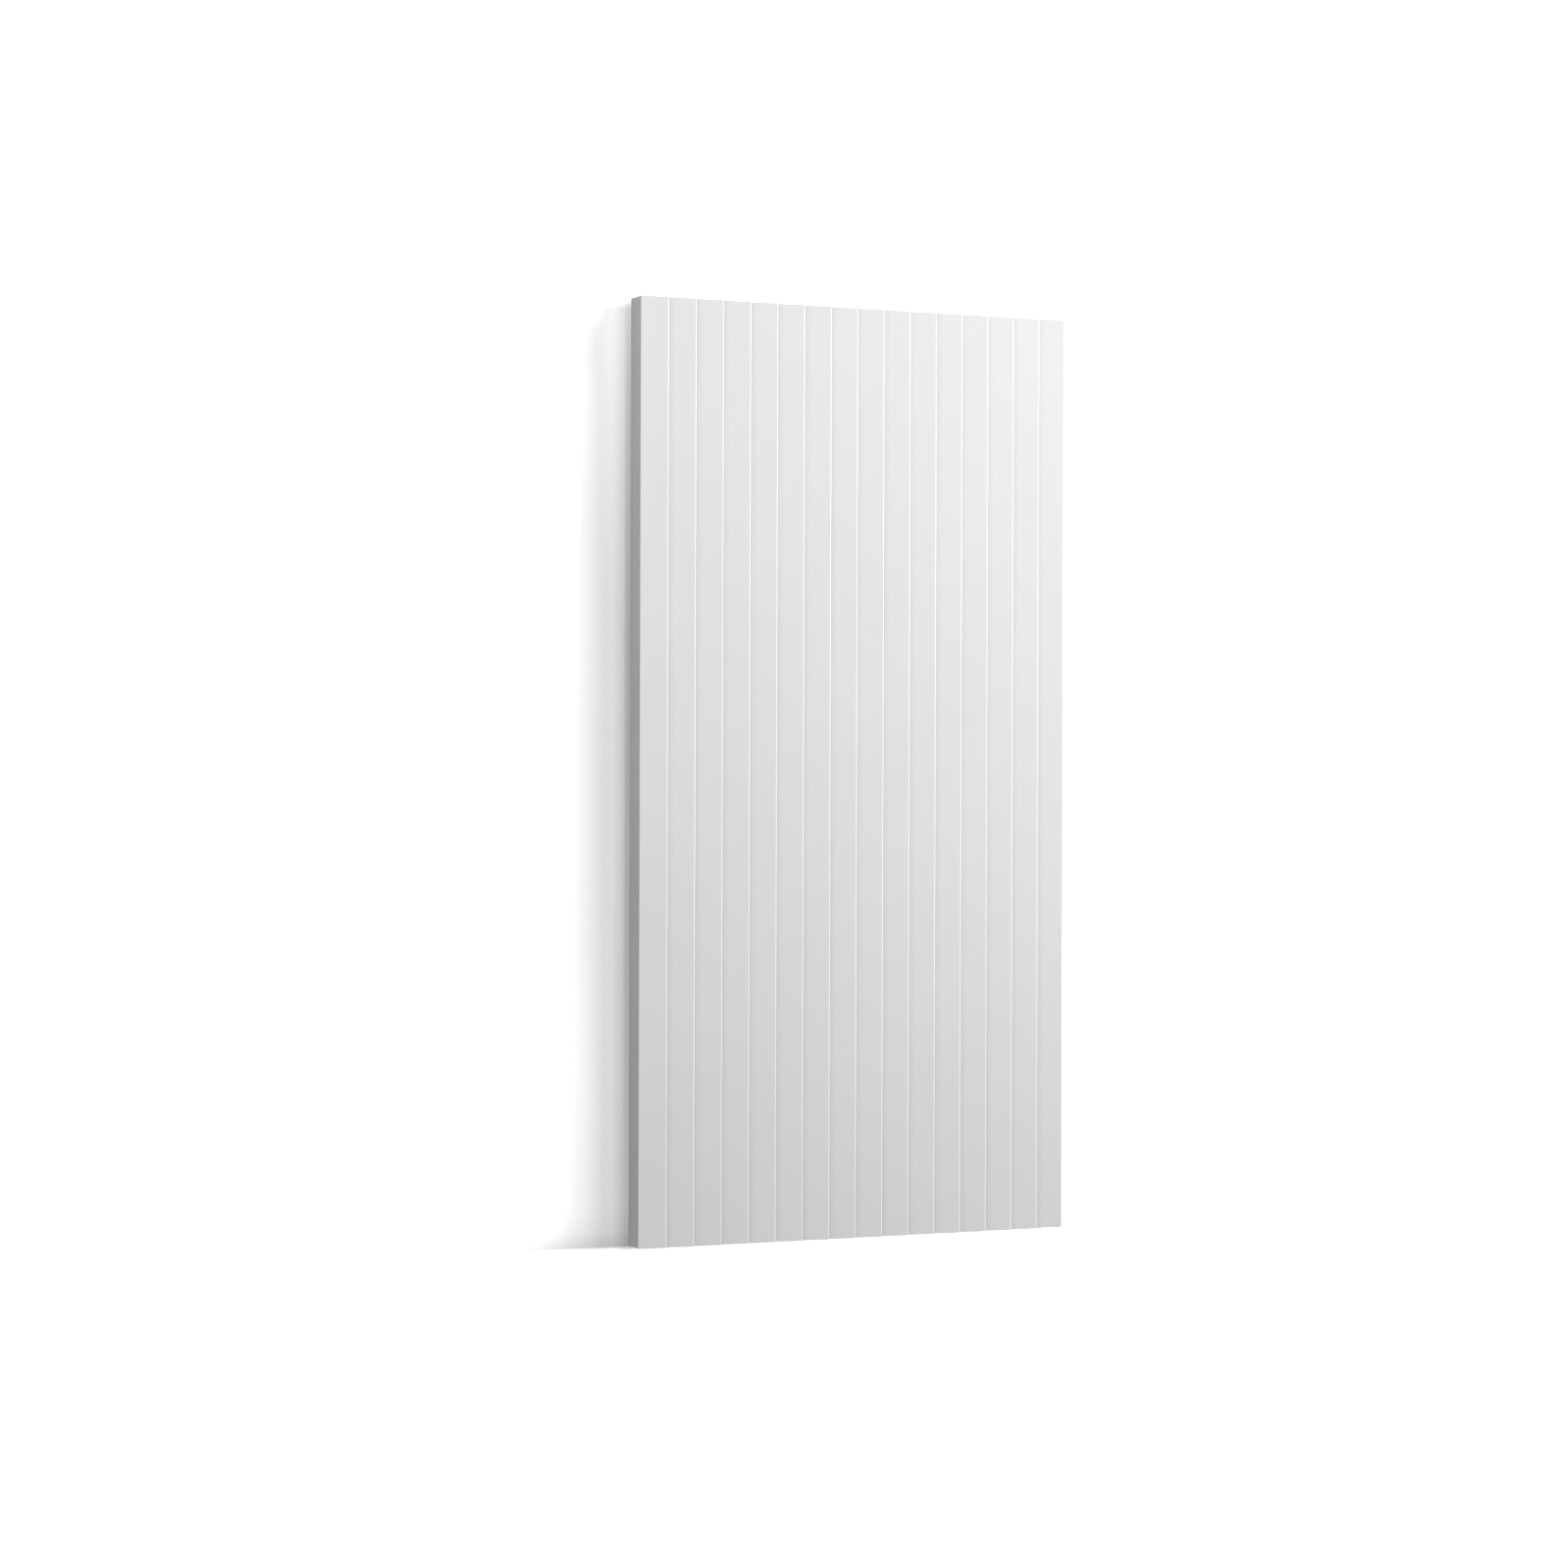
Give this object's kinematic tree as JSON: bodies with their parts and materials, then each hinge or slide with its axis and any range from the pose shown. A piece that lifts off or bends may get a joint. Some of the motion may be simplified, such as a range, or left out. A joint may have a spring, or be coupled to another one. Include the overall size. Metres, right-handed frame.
{
  "type": "three-dimensional wall panel",
  "caption": "Moulded decorative wall panel with a flat back and a lapped front, where each narrow strip climbs to a rounded ridge and drops to the next.",
  "frame": {"origin": "middle of the flat back face, which is what the panel lies on", "axes": "+Y along the strips, +X across them towards the side that every riser faces, +Z out of the front"},
  "size_m": [0.25, 0.5, 0.016],
  "materials": {
    "primed_polymer": "smooth matt white primer, ready to paint"
  },
  "bodies": {
    "root": {"wall_panel": "primed_polymer"}
  },
  "joints": []
}
